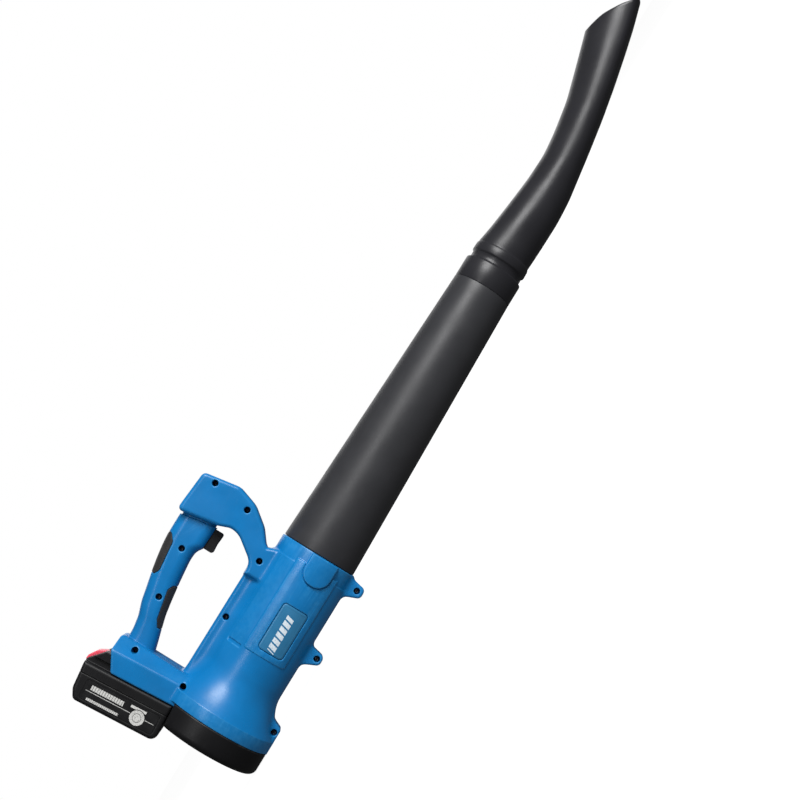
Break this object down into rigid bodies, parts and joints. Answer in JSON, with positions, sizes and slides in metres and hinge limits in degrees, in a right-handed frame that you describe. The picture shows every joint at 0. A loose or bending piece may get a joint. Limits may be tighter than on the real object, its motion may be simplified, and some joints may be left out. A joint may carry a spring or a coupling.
{
  "type": "leaf blower",
  "caption": "Handheld cordless leaf blower: flared intake with fan housing, loop handle with trigger, slide-on battery pack, tapered tube and upswept scoop nozzle.",
  "frame": {"origin": "middle of the footprint's bounding box, at the height of the base rim and rear lug", "axes": "+X along the air flow towards the nozzle, +Z from the base up to the handle, +Y towards the blower's left side"},
  "size_m": [0.9958, 0.131, 0.2241],
  "materials": {
    "blue_plastic": "semi-gloss moulded ABS",
    "black_plastic": "fine-textured moulded ABS",
    "tube_plastic": "satin blow-moulded polypropylene",
    "soft_rubber": "soft-touch elastomer",
    "red_plastic": "translucent moulded plastic",
    "plate_lacquer": "printed name plate, no lettering",
    "label_film": "printed film with plain marks",
    "fan_nylon": "glass-filled nylon",
    "steel": "plated steel",
    "copper": "bare copper alloy",
    "circuit_board": "solder-masked laminate",
    "cell_sleeve": "shrink-wrapped can",
    "red_insulation": "wire insulation",
    "black_insulation": "wire insulation"
  },
  "bodies": {
    "housing": {"right_housing": "blue_plastic", "left_housing": "blue_plastic", "rear_intake_cap": "black_plastic", "upper_grip_inlay": "soft_rubber", "lower_grip_inlay": "soft_rubber", "name_plate": "plate_lacquer", "housing_screw_01": "steel", "housing_screw_02": "steel", "housing_screw_03": "steel", "housing_screw_04": "steel", "housing_screw_05": "steel", "housing_screw_06": "steel", "housing_screw_07": "steel", "housing_screw_08": "steel", "housing_screw_09": "steel", "housing_screw_10": "steel", "housing_screw_11": "steel", "stator_vanes": "fan_nylon", "motor_can": "steel", "motor_end_bell": "black_plastic", "rear_bearing": "steel", "front_bearing": "steel", "motor_rubber_mount": "soft_rubber", "tail_cone": "fan_nylon", "trigger_spring": "steel", "switch_body": "black_plastic", "control_board": "circuit_board", "terminal_block": "black_plastic", "positive_blade": "copper", "negative_blade": "copper", "battery_lead_positive": "red_insulation", "battery_lead_negative": "black_insulation", "motor_lead_positive": "red_insulation", "motor_lead_negative": "black_insulation"},
    "fan": {"impeller": "fan_nylon", "motor_shaft": "steel", "rotor_core": "copper", "fan_nut": "steel"},
    "trigger": {"trigger": "black_plastic"},
    "battery": {"battery_lower_case": "black_plastic", "battery_upper_case": "black_plastic", "battery_board": "circuit_board", "right_pack_label": "label_film", "left_pack_label": "label_film", "battery_cell_1": "cell_sleeve", "battery_cell_2": "cell_sleeve", "battery_cell_3": "cell_sleeve", "battery_cell_4": "cell_sleeve", "battery_cell_5": "cell_sleeve"},
    "battery_button": {"battery_button": "red_plastic"},
    "tube": {"blower_tube": "tube_plastic", "tube_seal_ring": "soft_rubber"},
    "nozzle": {"nozzle": "tube_plastic"}
  },
  "joints": [
    {"name": "fan_spin", "type": "hinge", "parent": "housing", "child": "fan", "pos_m": [-0.39446, 0, 0.0655], "axis": [1, 0, 0], "continuous": true},
    {"name": "trigger_pull", "type": "slide", "parent": "housing", "child": "trigger", "axis": [0, 0, 1], "range_m": [0, 0.006], "stiffness_N_per_m": 400, "springref_m": -0.004, "deforming": ["trigger_spring"]},
    {"name": "battery_slide", "type": "slide", "parent": "housing", "child": "battery", "axis": [-0.068, 0, 0.9977], "range_m": [0, 0.115]},
    {"name": "battery_button_press", "type": "slide", "parent": "battery", "child": "battery_button", "axis": [-0.9977, 0, -0.068], "range_m": [0, 0.0045], "stiffness_N_per_m": 1500, "springref_m": -0.001},
    {"name": "tube_twist", "type": "hinge", "parent": "housing", "child": "tube", "pos_m": [-0.24696, 0, 0.0655], "axis": [1, 0, 0], "range_deg": [-26, 0]},
    {"name": "nozzle_pull", "type": "slide", "parent": "tube", "child": "nozzle", "axis": [1, 0, 0], "range_m": [0, 0.06]}
  ]
}
